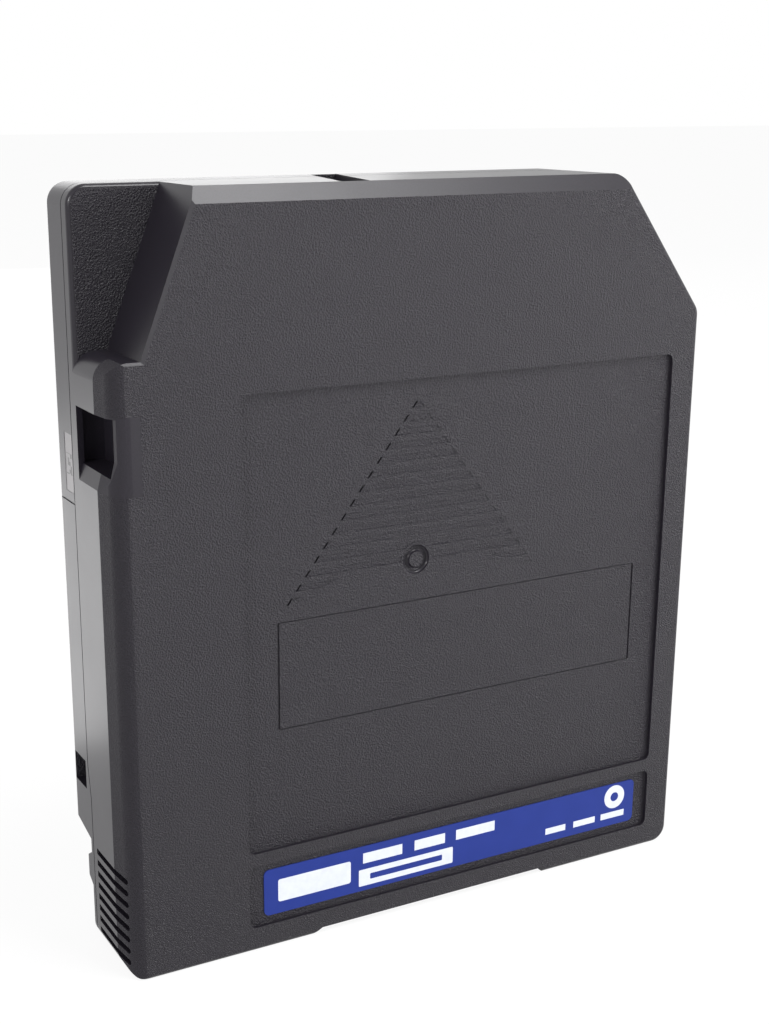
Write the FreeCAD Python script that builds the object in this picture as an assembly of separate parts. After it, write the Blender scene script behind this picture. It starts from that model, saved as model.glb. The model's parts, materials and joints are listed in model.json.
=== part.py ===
import FreeCAD, Part
import math
import os
from FreeCAD import Vector

# Half-inch data tape cartridge, standing on its label edge. Millimetres.
# X runs across the width, Y through the thickness (front face at -Y), Z up the insertion direction.

# ---------------------------------------------------------------- case
CASE_WIDTH = 109.0
CASE_THICKNESS = 24.5
CASE_HEIGHT = 125.0
FACE_WALL = 2.0
SIDE_WALL = 2.0
CHAMFER_WIDTH = 17.3
CHAMFER_HEIGHT = 23.4
TOP_LEFT_RADIUS = 3.2
CORNER_RADIUS = 3.0
FRONT_EDGE_RADIUS = 0.8
BACK_EDGE_RADIUS = 1.2
BEVEL_DEPTH = 1.7
BEVEL_HEIGHT = 2.5

# Soft front left edge: a flat bevel from the side wall, then an arc into the front face
SOFT_EDGE_DEPTH = 6.25
SOFT_EDGE_BEVEL = 0.35
SOFT_EDGE_RADIUS = 3.0

# Parting face between the covers, stepped near the label edge
BACK_COVER_DEPTH = 7.45
PARTING_STEP = 1.0
STEP_BOTTOM = 26.0
STEP_TOP = 31.5
PARTING_GROOVE = 0.26

# Insertion notch in the upper left corner
NOTCH_FLOOR_DEPTH = 14.25
NOTCH_BOTTOM = 100.4
NOTCH_BOTTOM_WIDTH = 5.35
NOTCH_TOP_WIDTH = 14.8
NOTCH_WALL = 1.6
TAB_RADIUS = 3.3
NOTCH_EDGE = 0.4
NOTCH_RIM_RADIUS = 0.9

# Latch pocket below the notch
LATCH_TOP = 92.2
LATCH_BOTTOM = 85.7
LATCH_SLOPE = 5.1
LATCH_RELIEF = 1.35
LATCH_BACK_DEPTH = 14.4
LATCH_POCKET_DEPTH = 4.8
LATCH_UNDERCUT = 1.2
POCKET_WALL = 1.3

# Grip slots at the foot of the left side
GRIP_SLOTS = 8
GRIP_PITCH = 2.06
GRIP_BOTTOM = 2.9
GRIP_SLOT_WIDTH = 1.05
GRIP_DEPTH = 1.3
GRIP_END_DEPTH = 1.75

# Front panels
PANEL_LEFT = 21.1
PANEL_RIGHT = 5.25
PANEL_DEPTH = 0.6
PANEL_RADIUS = 1.2
PANEL_BOTTOM = 17.8
PANEL_TOP = 94.2
STRIP_BOTTOM = 4.3
STRIP_TOP = 15.5
LABEL_SIDE_MARGIN = 2.8
LABEL_EDGE_MARGIN = 1.4
LABEL_THICKNESS = 0.12
LABEL_RADIUS = 1.0
FRAME_SIDE_MARGIN = 6.0
FRAME_BOTTOM = 38.7
FRAME_HEIGHT = 18.2
FRAME_SIDE_LINE = 0.35
FRAME_LEVEL_LINE = 0.16
FRAME_LINE_DEPTH = 0.18

# Insertion arrowhead of sunk bars, and the gate dimple below it
ARROW_TOP = 91.0
ARROW_HEIGHT = 31.0
ARROW_HALF_WIDTH = 23.6
ARROW_BARB = 9.4
ARROW_BARB_RISE = 2.9
ARROW_BARS = 15
ARROW_PITCH = 2.13
ARROW_DEPTH = 0.09
ARROW_NICK_DEPTH = 0.4
ARROW_NICK_WIDTH = 0.42
DIMPLE_RADIUS = 2.5
DIMPLE_BOSS_RADIUS = 1.3
DIMPLE_DEPTH = 0.55
DIMPLE_LAND = 0.35

# Features of the other edges
SIDE_LINE_HEIGHT = 76.0
SIDE_LINE_WIDTH = 0.35
MARK_BOTTOM = 77.6
MARK_HEIGHT = 9.4
MARK_LENGTH = 3.5
MARK_RECESS = 0.15
MARK_THICKNESS = 0.1
SIDE_POCKET_BOTTOM = 27.0
SIDE_POCKET_HEIGHT = 5.0
SIDE_POCKET_LENGTH = 5.2
SIDE_POCKET_DEPTH = 4.6
SIDE_POCKET_EDGE = 1.15
CUTAWAY_WIDTH = 4.0
CUTAWAY_LEFT = 1.1
CUTAWAY_HEIGHT = 19.4
CUTAWAY_STUB_BOTTOM = 10.0
CUTAWAY_STUB_HEIGHT = 5.6
CUTAWAY_STUB_LENGTH = 1.8
LEADING_SLOT_LEFT = 39.0
LEADING_SLOT_WIDTH = 5.0
LEADING_SLOT_LEAN = 5.7
LEADING_SLOT_DEPTH = 3.5
FOOT_RECESS_LEFT = 32.7
FOOT_RECESS_LENGTH = 47.7
FOOT_RECESS_DEPTH = 1.05
FOOT_RECESS_SLOPE = 1.9

# Screws
SCREW_INSET_X = 8.0
SCREW_INSET_Z = 8.0
SCREW_UPPER_SPAN = 66.0
POST_RADIUS = 3.4
SCREW_SHANK_RADIUS = 1.1
SCREW_HEAD_RADIUS = 2.4
SCREW_HEAD_HEIGHT = 1.6
SCREW_SINK = 1.05
SCREW_LENGTH = 14.5
SCREW_CLEARANCE = 0.3

# Datum holes in the back face
DATUM_RADIUS = 2.25
DATUM_DEPTH = 4.0
DATUM_SPAN = 84.0
DATUM_HEIGHT = 30.0

# ---------------------------------------------------------------- reel
REEL_OFFSET = -2.0
REEL_RISE = 1.5
FLANGE_RADIUS = 49.0
FLANGE_THICKNESS = 1.2
HUB_RADIUS = 22.0
HUB_WALL = 2.4
HUB_WEB = 2.0
TAPE_WIDTH = 12.65
TAPE_PLAY = 0.25
PACK_RADIUS = 46.5
REEL_GAP = 0.3
HUB_OPENING_RADIUS = 18.6
COLLAR_HEIGHT = 1.0
COLLAR_WIDTH = 2.6
COLLAR_STEP = 0.5
STOP_RING_RADIUS = 26.0
STOP_RING_WALL = 1.2
STOP_RING_GAP = 0.55

# Drive teeth, steel disc and brake teeth
DRIVE_TEETH = 60
DRIVE_TEETH_INNER = 14.6
DRIVE_TEETH_OUTER = 17.6
DRIVE_TOOTH_HEIGHT = 1.2
GEAR_PLATE_INNER = 4.5
GEAR_PLATE_OUTER = 13.4
GEAR_PLATE_THICKNESS = 0.8
BRAKE_TEETH = 36
BRAKE_TEETH_INNER = 17.0
BRAKE_TEETH_OUTER = 19.1
BRAKE_TOOTH_HEIGHT = 1.2
TOOTH_TIP_SHARE = 0.26
TOOTH_ROOT_SHARE = 0.58
MESH_GAP = 0.2

# Brake button, spring and release plate
BRAKE_TRAVEL = 1.5
BUTTON_THICKNESS = 2.0
BUTTON_TUBE_RADIUS = 6.6
BUTTON_TUBE_LENGTH = 5.15
GUIDE_POST_SIDE = 6.0
GUIDE_POST_GAP = 0.2
GUIDE_POST_END_GAP = 0.3
SPRING_WIRE_RADIUS = 0.45
SPRING_TURNS = 5.5
SPRING_SEAT_WALL = 1.0
SPRING_SEAT_HEIGHT = 1.0
PLATE_THICKNESS = 1.3
PLATE_HUB_RADIUS = 8.5
PLATE_ARM_WIDTH = 5.0
PLATE_LEG_WIDTH = 4.0
PLATE_LEG_DEPTH = 2.0
PLATE_REACH = 16.4
PLATE_LEGS = 3
LEG_GAP = 0.3
LEG_RECESS = 0.2

# ---------------------------------------------------------------- tape door
OPENING_DROP = 2.1
OPENING_HEIGHT = 20.0
OPENING_DEPTH = 17.0
DOOR_THICKNESS = 1.3
DOOR_GAP = 0.25
DOOR_OVERLAP = 2.0
DOOR_TOP_OVERLAP = 1.2
DOOR_FACE_GAP = 0.3
LIP_REACH = 1.85
LIP_HEIGHT = 1.5
LIP_GAP = 0.4
RAIL_THICKNESS = 0.6
RAIL_HEIGHT = 1.2
RAIL_DROP = 21.5
DOOR_SPRING_LENGTH = 34.0
DOOR_SPRING_RADIUS = 0.85
DOOR_SPRING_WIRE = 0.15
DOOR_SPRING_TURNS = 24
SPIGOT_RADIUS = 0.5
SPIGOT_LENGTH = 3.0
SEAT_HEIGHT = 2.0
SEAT_WIDTH = 7.0

# ---------------------------------------------------------------- leader pin
PIN_INSET = 8.1
PIN_DROP = 6.5
PIN_RADIUS = 1.1
PIN_FLANGE_RADIUS = 2.3
PIN_FLANGE_LENGTH = 1.8
PIN_SPRING_THICKNESS = 0.2
PIN_SPRING_LENGTH = 1.6
SOCKET_WALL = 0.7
SOCKET_DEPTH = 2.0
SOCKET_END_GAP = 0.2
SOCKET_MOUTH = 120.0
CLAMP_RADIUS = 1.9
CLAMP_SLOT = 0.5
LEADER_THICKNESS = 0.12
LEADER_GAP = 0.35

# ---------------------------------------------------------------- write-protect slider
SLIDER_INSET = 22.1
SLIDER_DEPTH = 11.25
SLIDER_KNOB_LENGTH = 6.4
SLIDER_KNOB_WIDTH = 4.8
SLIDER_TRAVEL = 4.4
SLIDER_GAP = 0.3
SLIDER_FLANGE_MARGIN = 5.2
SLIDER_FLANGE_SIDE = 1.4
SLIDER_FLANGE = 1.2
SLIDER_LIFT = 0.2
SLIDER_RECESS = 0.5
SLIDER_RIDGES = 3
KEEPER_THICKNESS = 1.0

# ---------------------------------------------------------------- cartridge memory
MEMORY_INSET_X = 16.5
MEMORY_INSET_Z = 9.5
MEMORY_LENGTH = 12.0
MEMORY_WIDTH = 10.0
MEMORY_THICKNESS = 0.8
MEMORY_SEAT = 2.4
MEMORY_SEAT_WALL = 1.2
MEMORY_FLOOR = 1.2
MEMORY_CLEARANCE = 0.05
CHIP_SIDE = 2.6
CHIP_THICKNESS = 0.7

# ---------------------------------------------------------------- derived planes
LEFT = -CASE_WIDTH / 2
RIGHT = CASE_WIDTH / 2
FRONT = -CASE_THICKNESS / 2
BACK = CASE_THICKNESS / 2
TOP = CASE_HEIGHT
FRONT_INNER = FRONT + FACE_WALL
BACK_INNER = BACK - FACE_WALL
LEFT_INNER = LEFT + SIDE_WALL
RIGHT_INNER = RIGHT - SIDE_WALL
BEYOND = 1.0
NEAR = 1e-5
PARTING_UPPER = BACK - BACK_COVER_DEPTH
PARTING_LOWER = PARTING_UPPER - PARTING_STEP
REEL_X = REEL_OFFSET
REEL_Z = TOP / 2 + REEL_RISE
COLLAR_Y = BACK_INNER - COLLAR_HEIGHT
WEB_BACK = COLLAR_Y - REEL_GAP
WEB_FRONT = WEB_BACK - HUB_WEB
LOWER_FLANGE_Y = WEB_BACK - FLANGE_THICKNESS
UPPER_FLANGE_Y = LOWER_FLANGE_Y - TAPE_WIDTH - TAPE_PLAY
UPPER_FACE_Y = UPPER_FLANGE_Y - FLANGE_THICKNESS
TAPE_Y = (LOWER_FLANGE_Y + UPPER_FLANGE_Y) / 2
HUB_INNER = HUB_RADIUS - HUB_WALL

PLATE_BACK = WEB_FRONT - MESH_GAP
PLATE_FRONT = PLATE_BACK - PLATE_THICKNESS
BUTTON_BACK = PLATE_FRONT - LEG_GAP
BUTTON_FRONT = BUTTON_BACK - BUTTON_THICKNESS
BUTTON_TUBE_Y = BUTTON_FRONT - BUTTON_TUBE_LENGTH
BRAKE_ROOT_Y = WEB_FRONT - BRAKE_TOOTH_HEIGHT - MESH_GAP
BORE_END_Y = BUTTON_BACK - BUTTON_THICKNESS / 2
POST_END_Y = BORE_END_Y - BRAKE_TRAVEL - GUIDE_POST_END_GAP
SPRING_RADIUS = BUTTON_TUBE_RADIUS + SPRING_WIRE_RADIUS + LEG_GAP

DOOR_OUTER = RIGHT_INNER - DOOR_GAP
DOOR_INNER = DOOR_OUTER - DOOR_THICKNESS
OPENING_TOP = TOP - CHAMFER_HEIGHT - OPENING_DROP
OPENING_BOTTOM = OPENING_TOP - OPENING_HEIGHT
DOOR_BOTTOM = OPENING_BOTTOM - DOOR_OVERLAP
RAIL_BOTTOM = DOOR_BOTTOM - RAIL_DROP
DOOR_TOP = OPENING_TOP + DOOR_TOP_OVERLAP
DOOR_X = (DOOR_OUTER + DOOR_INNER) / 2 - DOOR_SPRING_WIRE
SEAT_TOP = DOOR_BOTTOM - DOOR_SPRING_LENGTH
PIN_X = RIGHT - PIN_INSET
PIN_Z = OPENING_TOP - PIN_DROP
PIN_HALF = TAPE_WIDTH / 2 + PIN_FLANGE_LENGTH + TAPE_PLAY / 2
SOCKET_RADIUS = PIN_FLANGE_RADIUS + PIN_SPRING_THICKNESS


# ---------------------------------------------------------------- basic solids
def block(x0, x1, y0, y1, z0, z1):
    return Part.makeBox(x1 - x0, y1 - y0, z1 - z0, Vector(x0, y0, z0))


def rod(x, z, radius, y0, y1):
    return Part.makeCylinder(radius, y1 - y0, Vector(x, y0, z), Vector(0, 1, 0))


def tube(x, z, inner, outer, y0, y1):
    return rod(x, z, outer, y0, y1).cut(rod(x, z, inner, y0 - BEYOND, y1 + BEYOND))


def rounded_wire(corners):
    """Closed XZ wire through (x, z, radius) corners, each turned by an arc of its radius."""
    ends = []
    for i, (x, z, radius) in enumerate(corners):
        corner = Vector(x, 0, z)
        before = Vector(corners[i - 1][0], 0, corners[i - 1][1]) - corner
        after = Vector(corners[(i + 1) % len(corners)][0], 0, corners[(i + 1) % len(corners)][1]) - corner
        before.normalize()
        after.normalize()
        if radius <= 0:
            ends.append((corner, None, corner))
            continue
        half = before.getAngle(after) / 2
        inward = (before + after).normalize()
        reach = radius / math.tan(half)
        middle = corner + inward * (radius / math.sin(half) - radius)
        ends.append((corner + before * reach, middle, corner + after * reach))
    edges = []
    for i, (start, middle, end) in enumerate(ends):
        if middle is not None:
            edges.append(Part.Arc(start, middle, end).toShape())
        following = ends[(i + 1) % len(ends)][0]
        if end.distanceToPoint(following) > 1e-6:
            edges.append(Part.makeLine(end, following))
    return Part.Wire(edges)


def slab(corners, y0, y1):
    """Solid between y0 and y1 whose XZ outline is rounded_wire(corners)."""
    face = Part.Face(rounded_wire(corners))
    face.translate(Vector(0, y0, 0))
    return face.extrude(Vector(0, y1 - y0, 0))


def plate(x0, x1, y0, y1, z0, z1, radius):
    corners = [(x0, z0, radius), (x1, z0, radius), (x1, z1, radius), (x0, z1, radius)]
    return slab(corners, y0, y1)


def across(points, x0, x1):
    """Solid between x0 and x1 with a straight-sided (y, z) outline."""
    loop = [Vector(x0, y, z) for y, z in points + points[:1]]
    return Part.Face(Part.makePolygon(loop)).extrude(Vector(x1 - x0, 0, 0))


def inset(corners, distance):
    """Corners of a convex counter-clockwise outline moved inwards by distance."""
    moved = []
    for i, (x, z, radius) in enumerate(corners):
        sides = []
        for first, second in ((corners[i - 1], corners[i]), (corners[i], corners[(i + 1) % len(corners)])):
            run = Vector(second[0] - first[0], 0, second[1] - first[1]).normalize()
            sides.append((first, run, Vector(-run.z, 0, run.x)))
        (p, run_p, normal_p), (q, run_q, normal_q) = sides
        a = Vector(p[0], 0, p[1]) + normal_p * distance
        b = Vector(q[0], 0, q[1]) + normal_q * distance
        turn = run_p.x * run_q.z - run_p.z * run_q.x
        step = ((b.x - a.x) * run_q.z - (b.z - a.z) * run_q.x) / turn
        moved.append((a.x + run_p.x * step, a.z + run_p.z * step, max(radius - distance, 0)))
    return moved


def fused(solids):
    return solids[0].fuse(solids[1:]).removeSplitter()


def edges_at(shape, y):
    """Edges of a shape that lie wholly at one depth."""
    return [e for e in shape.Edges if abs(e.BoundBox.YMin - y) < NEAR and abs(e.BoundBox.YMax - y) < NEAR]


def around_reel(shape, count, first=0.0):
    """Copies of a shape at equal angles about the reel's axis."""
    copies = []
    for i in range(count):
        copy = shape.copy()
        copy.rotate(Vector(REEL_X, 0, REEL_Z), Vector(0, 1, 0), first + 360.0 * i / count)
        copies.append(copy)
    return copies


def coil(x, y, z, direction, length, radius, wire, turns):
    """Compression spring of round wire from a point along a direction, touching a seat at each end."""
    rise = length - 2 * wire
    pitch = rise / turns
    helix = Part.makeHelix(pitch, rise, radius)
    along = Vector(0, 2 * math.pi * radius, pitch)
    profile = Part.Wire(Part.makeCircle(wire, Vector(radius, 0, 0), along))
    spring = Part.Wire(helix.Edges).makePipeShell([profile], True, True)
    turn = FreeCAD.Rotation(Vector(0, 0, 1), direction)
    spring.Placement = FreeCAD.Placement(Vector(x, y, z) + direction * wire, turn)
    return spring


# ---------------------------------------------------------------- case outline and outer features
def case_outline(distance=0.0):
    corners = [
        (LEFT, 0, CORNER_RADIUS),
        (RIGHT, 0, CORNER_RADIUS),
        (RIGHT, TOP - CHAMFER_HEIGHT, CORNER_RADIUS),
        (RIGHT - CHAMFER_WIDTH, TOP, CORNER_RADIUS),
        (LEFT, TOP, TOP_LEFT_RADIUS),
    ]
    return inset(corners, distance)


def case_block():
    """The closed outer body of the cartridge with its edges rounded and bevelled."""
    body = slab(case_outline(), FRONT, BACK)
    for y, radius in ((FRONT, FRONT_EDGE_RADIUS), (BACK, BACK_EDGE_RADIUS)):
        body = body.makeFillet(radius, edges_at(body, y))
    slope = BEVEL_HEIGHT / BEVEL_DEPTH
    bevel = across([
        (FRONT - BEYOND, TOP - BEVEL_HEIGHT - slope * BEYOND),
        (FRONT + BEVEL_DEPTH + BEYOND, TOP + slope * BEYOND),
        (FRONT - BEYOND, TOP + slope * BEYOND),
    ], LEFT - BEYOND, RIGHT + BEYOND)
    return body.cut([bevel, soft_edge()])


def soft_edge():
    """What the soft front left edge takes off the square corner."""
    crease = Vector(LEFT, FRONT + SOFT_EDGE_DEPTH, -BEYOND)
    shoulder = Vector(LEFT + SOFT_EDGE_BEVEL, FRONT + SOFT_EDGE_RADIUS, -BEYOND)
    landing = Vector(LEFT + SOFT_EDGE_BEVEL + SOFT_EDGE_RADIUS, FRONT, -BEYOND)
    swing = SOFT_EDGE_RADIUS * (1 - math.sqrt(0.5))
    middle = Vector(shoulder.x + swing, FRONT + swing, -BEYOND)
    outer = [
        landing,
        Vector(landing.x, FRONT - BEYOND, -BEYOND),
        Vector(LEFT - BEYOND, FRONT - BEYOND, -BEYOND),
        Vector(LEFT - BEYOND, crease.y, -BEYOND),
        crease,
        shoulder,
    ]
    edges = [Part.makeLine(a, b) for a, b in zip(outer, outer[1:])]
    edges.append(Part.Arc(shoulder, middle, landing).toShape())
    return Part.Face(Part.Wire(edges)).extrude(Vector(0, 0, TOP + 2 * BEYOND))


def notch_wall_ends(grow, head_z):
    """X of the notch's slanted wall at its foot and at head_z, with the notch grown all round."""
    foot_x = LEFT + NOTCH_BOTTOM_WIDTH + grow
    lean = (NOTCH_TOP_WIDTH - NOTCH_BOTTOM_WIDTH) / (TOP - NOTCH_BOTTOM)
    return foot_x, foot_x + lean * (head_z - NOTCH_BOTTOM + grow)


def notch_outline(margin=0.0):
    """Insertion notch seen from the front, or that outline grown by a margin for its walls."""
    far = BEYOND + margin
    foot_x, head_x = notch_wall_ends(margin, TOP + far)
    base = NOTCH_BOTTOM - margin
    if margin:
        return [(LEFT - far, base, 0), (foot_x, base, 0), (head_x, TOP + far, 0), (LEFT - far, TOP + far, 0)]
    drop = base - TAB_RADIUS
    return [
        (LEFT - far, drop, 0),
        (LEFT, drop, 0),
        (LEFT, base, TAB_RADIUS),
        (foot_x, base, 0),
        (head_x, TOP + far, 0),
        (LEFT - far, TOP + far, 0),
    ]


def insertion_notch():
    return slab(notch_outline(), FRONT - BEYOND, FRONT + NOTCH_FLOOR_DEPTH)


def notch_edge():
    """Bevel that breaks the edge between the front face and the walls of the notch."""
    rings = []
    for y, grow in ((FRONT - BEYOND, NOTCH_EDGE + BEYOND), (FRONT + NOTCH_EDGE, 0.0)):
        foot_x, head_x = notch_wall_ends(grow, TOP + BEYOND)
        ring = rounded_wire([
            (foot_x, NOTCH_BOTTOM - grow, 0),
            (head_x, TOP + BEYOND, 0),
            (LEFT - BEYOND, TOP + BEYOND, 0),
            (LEFT - BEYOND, NOTCH_BOTTOM - grow, 0),
        ])
        ring.translate(Vector(0, y, 0))
        rings.append(ring)
    return Part.makeLoft(rings, True, True)


def notched_block():
    """The closed outer body with the notch cut in and the rim of the notch's floor rounded."""
    body = case_block().cut([insertion_notch(), notch_edge()])
    rim = []
    for edge in edges_at(body, FRONT + NOTCH_FLOOR_DEPTH):
        centre = edge.CenterOfMass
        if abs(centre.x - LEFT) < NEAR or centre.z > TOP - TOP_LEFT_RADIUS:
            rim.append(edge)
    return body.makeFillet(NOTCH_RIM_RADIUS, rim)


def latch_pocket():
    """Relief with a sloping lower lip, and the pocket that widens behind the side wall."""
    y0 = FRONT - BEYOND
    y1 = FRONT + LATCH_BACK_DEPTH
    floor = LEFT + LATCH_RELIEF
    lean = LATCH_SLOPE / LATCH_RELIEF
    relief = slab([
        (LEFT - BEYOND, LATCH_BOTTOM - LATCH_SLOPE - lean * BEYOND, 0),
        (floor, LATCH_BOTTOM, 0),
        (floor, LATCH_TOP, 0),
        (LEFT - BEYOND, LATCH_TOP, 0),
    ], y0, y1)
    mouth = block(LEFT, LEFT_INNER, FRONT_INNER, y1, LATCH_BOTTOM - LATCH_SLOPE / 2, LATCH_TOP)
    return relief.fuse([mouth, latch_hollow(0)])


def latch_hollow(wall):
    return block(
        LEFT + SIDE_WALL / 2, LEFT + LATCH_POCKET_DEPTH + wall,
        FRONT_INNER - wall, FRONT + LATCH_BACK_DEPTH + LATCH_UNDERCUT + wall,
        LATCH_BOTTOM - LATCH_SLOPE / 2 - wall, LATCH_TOP + wall)


def grip_slots():
    """Row of level slots in the left side, round at their front ends."""
    half = GRIP_SLOT_WIDTH / 2
    y0 = FRONT + GRIP_END_DEPTH + half
    slots = []
    for i in range(GRIP_SLOTS):
        z = GRIP_BOTTOM + i * GRIP_PITCH
        end = Part.makeCylinder(half, GRIP_DEPTH + BEYOND, Vector(LEFT - BEYOND, y0, z), Vector(1, 0, 0))
        run = block(LEFT - BEYOND, LEFT + GRIP_DEPTH, y0, FRONT + LATCH_BACK_DEPTH, z - half, z + half)
        slots.append(run.fuse(end))
    return slots


def front_panels():
    """Large panel and label strip, both sunk into the front face."""
    x0 = LEFT + PANEL_LEFT
    x1 = RIGHT - PANEL_RIGHT
    floor = FRONT + PANEL_DEPTH
    large = plate(x0, x1, FRONT - BEYOND, floor, PANEL_BOTTOM, PANEL_TOP, PANEL_RADIUS)
    strip = plate(x0, x1, FRONT - BEYOND, floor, STRIP_BOTTOM, STRIP_TOP, PANEL_RADIUS)
    return [large, strip]


def front_frame():
    """Fine rectangle engraved in the large panel: firm side lines, faint level lines."""
    x0 = LEFT + PANEL_LEFT + FRAME_SIDE_MARGIN
    x1 = RIGHT - PANEL_RIGHT - FRAME_SIDE_MARGIN
    z0 = FRAME_BOTTOM
    z1 = FRAME_BOTTOM + FRAME_HEIGHT
    y0 = FRONT
    y1 = FRONT + PANEL_DEPTH + FRAME_LINE_DEPTH
    lines = [block(x - FRAME_SIDE_LINE / 2, x + FRAME_SIDE_LINE / 2, y0, y1, z0, z1) for x in (x0, x1)]
    lines += [block(x0, x1, y0, y1, z - FRAME_LEVEL_LINE / 2, z + FRAME_LEVEL_LINE / 2) for z in (z0, z1)]
    return lines


def arrow_bars():
    """Shallow level bars that draw the insertion arrowhead, each with a deeper nick at its left end."""
    x = REEL_X
    foot = ARROW_TOP - ARROW_HEIGHT
    barb = ARROW_HALF_WIDTH - ARROW_BARB
    y0 = FRONT
    floor = FRONT + PANEL_DEPTH
    y1 = floor + ARROW_DEPTH
    land = rod(x, REEL_Z, DIMPLE_RADIUS + DIMPLE_LAND, y0 - BEYOND, y1 + BEYOND)
    head = slab([
        (x - ARROW_HALF_WIDTH, foot, 0),
        (x - barb, foot + ARROW_BARB_RISE, 0),
        (x + barb, foot + ARROW_BARB_RISE, 0),
        (x + ARROW_HALF_WIDTH, foot, 0),
        (x, ARROW_TOP, 0),
    ], y0, y1)
    bars = []
    for i in range(ARROW_BARS):
        z = ARROW_TOP - ARROW_PITCH * (i + 0.5)
        bar = block(
            x - ARROW_HALF_WIDTH, x + ARROW_HALF_WIDTH, y0, y1, z - ARROW_PITCH / 4, z + ARROW_PITCH / 4)
        drawn = bar.common(head).cut(land)
        bars += drawn.Solids
        end = x - ARROW_HALF_WIDTH * (ARROW_TOP - z) / ARROW_HEIGHT
        lean = ARROW_HALF_WIDTH / ARROW_HEIGHT * ARROW_PITCH / 4
        bars.append(slab([
            (end - lean, z - ARROW_PITCH / 4, 0),
            (end - lean + ARROW_NICK_WIDTH, z - ARROW_PITCH / 4, 0),
            (end + lean + ARROW_NICK_WIDTH, z + ARROW_PITCH / 4, 0),
            (end + lean, z + ARROW_PITCH / 4, 0),
        ], y0, floor + ARROW_NICK_DEPTH))
    return bars


def dimple():
    """Round-bottomed ring groove about the moulding gate."""
    middle = (DIMPLE_BOSS_RADIUS + DIMPLE_RADIUS) / 2
    half = (DIMPLE_RADIUS - DIMPLE_BOSS_RADIUS) / 2
    radius = (half ** 2 + DIMPLE_DEPTH ** 2) / (2 * DIMPLE_DEPTH)
    centre = Vector(REEL_X, FRONT + PANEL_DEPTH + DIMPLE_DEPTH - radius, REEL_Z)
    return Part.makeTorus(middle, radius, centre, Vector(0, 1, 0))


def side_pocket(wall):
    z0 = SIDE_POCKET_BOTTOM
    return block(
        LEFT - BEYOND + wall, LEFT + SIDE_POCKET_DEPTH + wall,
        BACK - SIDE_POCKET_EDGE - SIDE_POCKET_LENGTH - wall, BACK - SIDE_POCKET_EDGE + wall,
        z0 - wall, z0 + SIDE_POCKET_HEIGHT + wall)


def cutaway():
    """Lower left edge of the back cover, cut away around a small stub."""
    y0 = PARTING_LOWER + CUTAWAY_LEFT
    x0 = LEFT - BEYOND
    x1 = LEFT + CUTAWAY_WIDTH
    edge = across([
        (y0, -BEYOND), (BACK + BEYOND, -BEYOND), (BACK + BEYOND, CUTAWAY_HEIGHT + CUTAWAY_LEFT),
        (y0, CUTAWAY_HEIGHT - CUTAWAY_LEFT),
    ], x0, x1)
    z0 = CUTAWAY_STUB_BOTTOM
    z1 = z0 + CUTAWAY_STUB_HEIGHT
    lead = CUTAWAY_STUB_LENGTH / 2
    stub = across([
        (y0 - BEYOND, z0 - lead), (y0 + CUTAWAY_STUB_LENGTH, z0 + lead),
        (y0 + CUTAWAY_STUB_LENGTH, z1 - lead), (y0 - BEYOND, z1 + lead),
    ], LEFT, x1 + BEYOND)
    return edge.cut(stub)


def leading_slot(wall):
    """Leaning slot across the leading edge, or its walled block."""
    x0 = LEFT + LEADING_SLOT_LEFT
    y0 = FRONT + BEVEL_DEPTH - wall
    y1 = BACK - BEVEL_DEPTH / 2 + wall
    bottom = TOP - LEADING_SLOT_DEPTH - wall
    foot = [(x0 - wall, y0), (x0 + LEADING_SLOT_WIDTH + wall, y0)]
    lean = LEADING_SLOT_LEAN
    head = [(x0 + lean + LEADING_SLOT_WIDTH + wall, y1), (x0 + lean - wall, y1)]
    loop = [Vector(x, y, bottom) for x, y in foot + head + foot[:1]]
    rise = LEADING_SLOT_DEPTH + (0 if wall else BEYOND)
    return Part.Face(Part.makePolygon(loop)).extrude(Vector(0, 0, rise))


def foot_recess():
    x0 = LEFT + FOOT_RECESS_LEFT
    x1 = x0 + FOOT_RECESS_LENGTH
    return slab([
        (x0, -BEYOND, 0), (x1, -BEYOND, 0), (x1, FOOT_RECESS_DEPTH, 0),
        (x0 + FOOT_RECESS_SLOPE, FOOT_RECESS_DEPTH, 0), (x0, 0, 0),
    ], FRONT - BEYOND, PARTING_LOWER)


def side_marks():
    """Fine level line across the back cover's left side, and the shallow seat of the side label."""
    y0, y1, z0, z1 = mark_area()
    seat = block(LEFT - BEYOND, LEFT + MARK_RECESS, y0, y1, z0, z1)
    z = SIDE_LINE_HEIGHT
    line = block(
        LEFT - BEYOND, LEFT + MARK_RECESS, PARTING_UPPER, BACK + BEYOND,
        z - SIDE_LINE_WIDTH / 2, z + SIDE_LINE_WIDTH / 2)
    return [seat, line]


def mark_area():
    y0 = PARTING_UPPER + PARTING_GROOVE
    return y0, y0 + MARK_LENGTH, MARK_BOTTOM, MARK_BOTTOM + MARK_HEIGHT


# ---------------------------------------------------------------- parting of the case
def parting_points(shift=0.0):
    return [
        (PARTING_LOWER + shift, -BEYOND),
        (PARTING_LOWER + shift, STEP_BOTTOM),
        (PARTING_UPPER + shift, STEP_TOP),
        (PARTING_UPPER + shift, TOP + BEYOND),
    ]


def front_half():
    points = parting_points() + [(FRONT - BEYOND, TOP + BEYOND), (FRONT - BEYOND, -BEYOND)]
    return across(points, LEFT - BEYOND, RIGHT + BEYOND)


def parting_groove():
    """Narrow groove that shows where the two covers meet."""
    half = PARTING_GROOVE / 2
    band = across(parting_points(-half) + parting_points(half)[::-1], LEFT - BEYOND, RIGHT + BEYOND)
    core = slab(case_outline(PARTING_GROOVE), FRONT, BACK)
    return band.cut(core)


# ---------------------------------------------------------------- what the walls hold inside
def screw_places():
    low = SCREW_INSET_Z
    high = TOP - SCREW_INSET_Z
    half = SCREW_UPPER_SPAN / 2
    return [(LEFT + SCREW_INSET_X, low), (RIGHT - SCREW_INSET_X, low), (-half, high), (half, high)]


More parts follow.
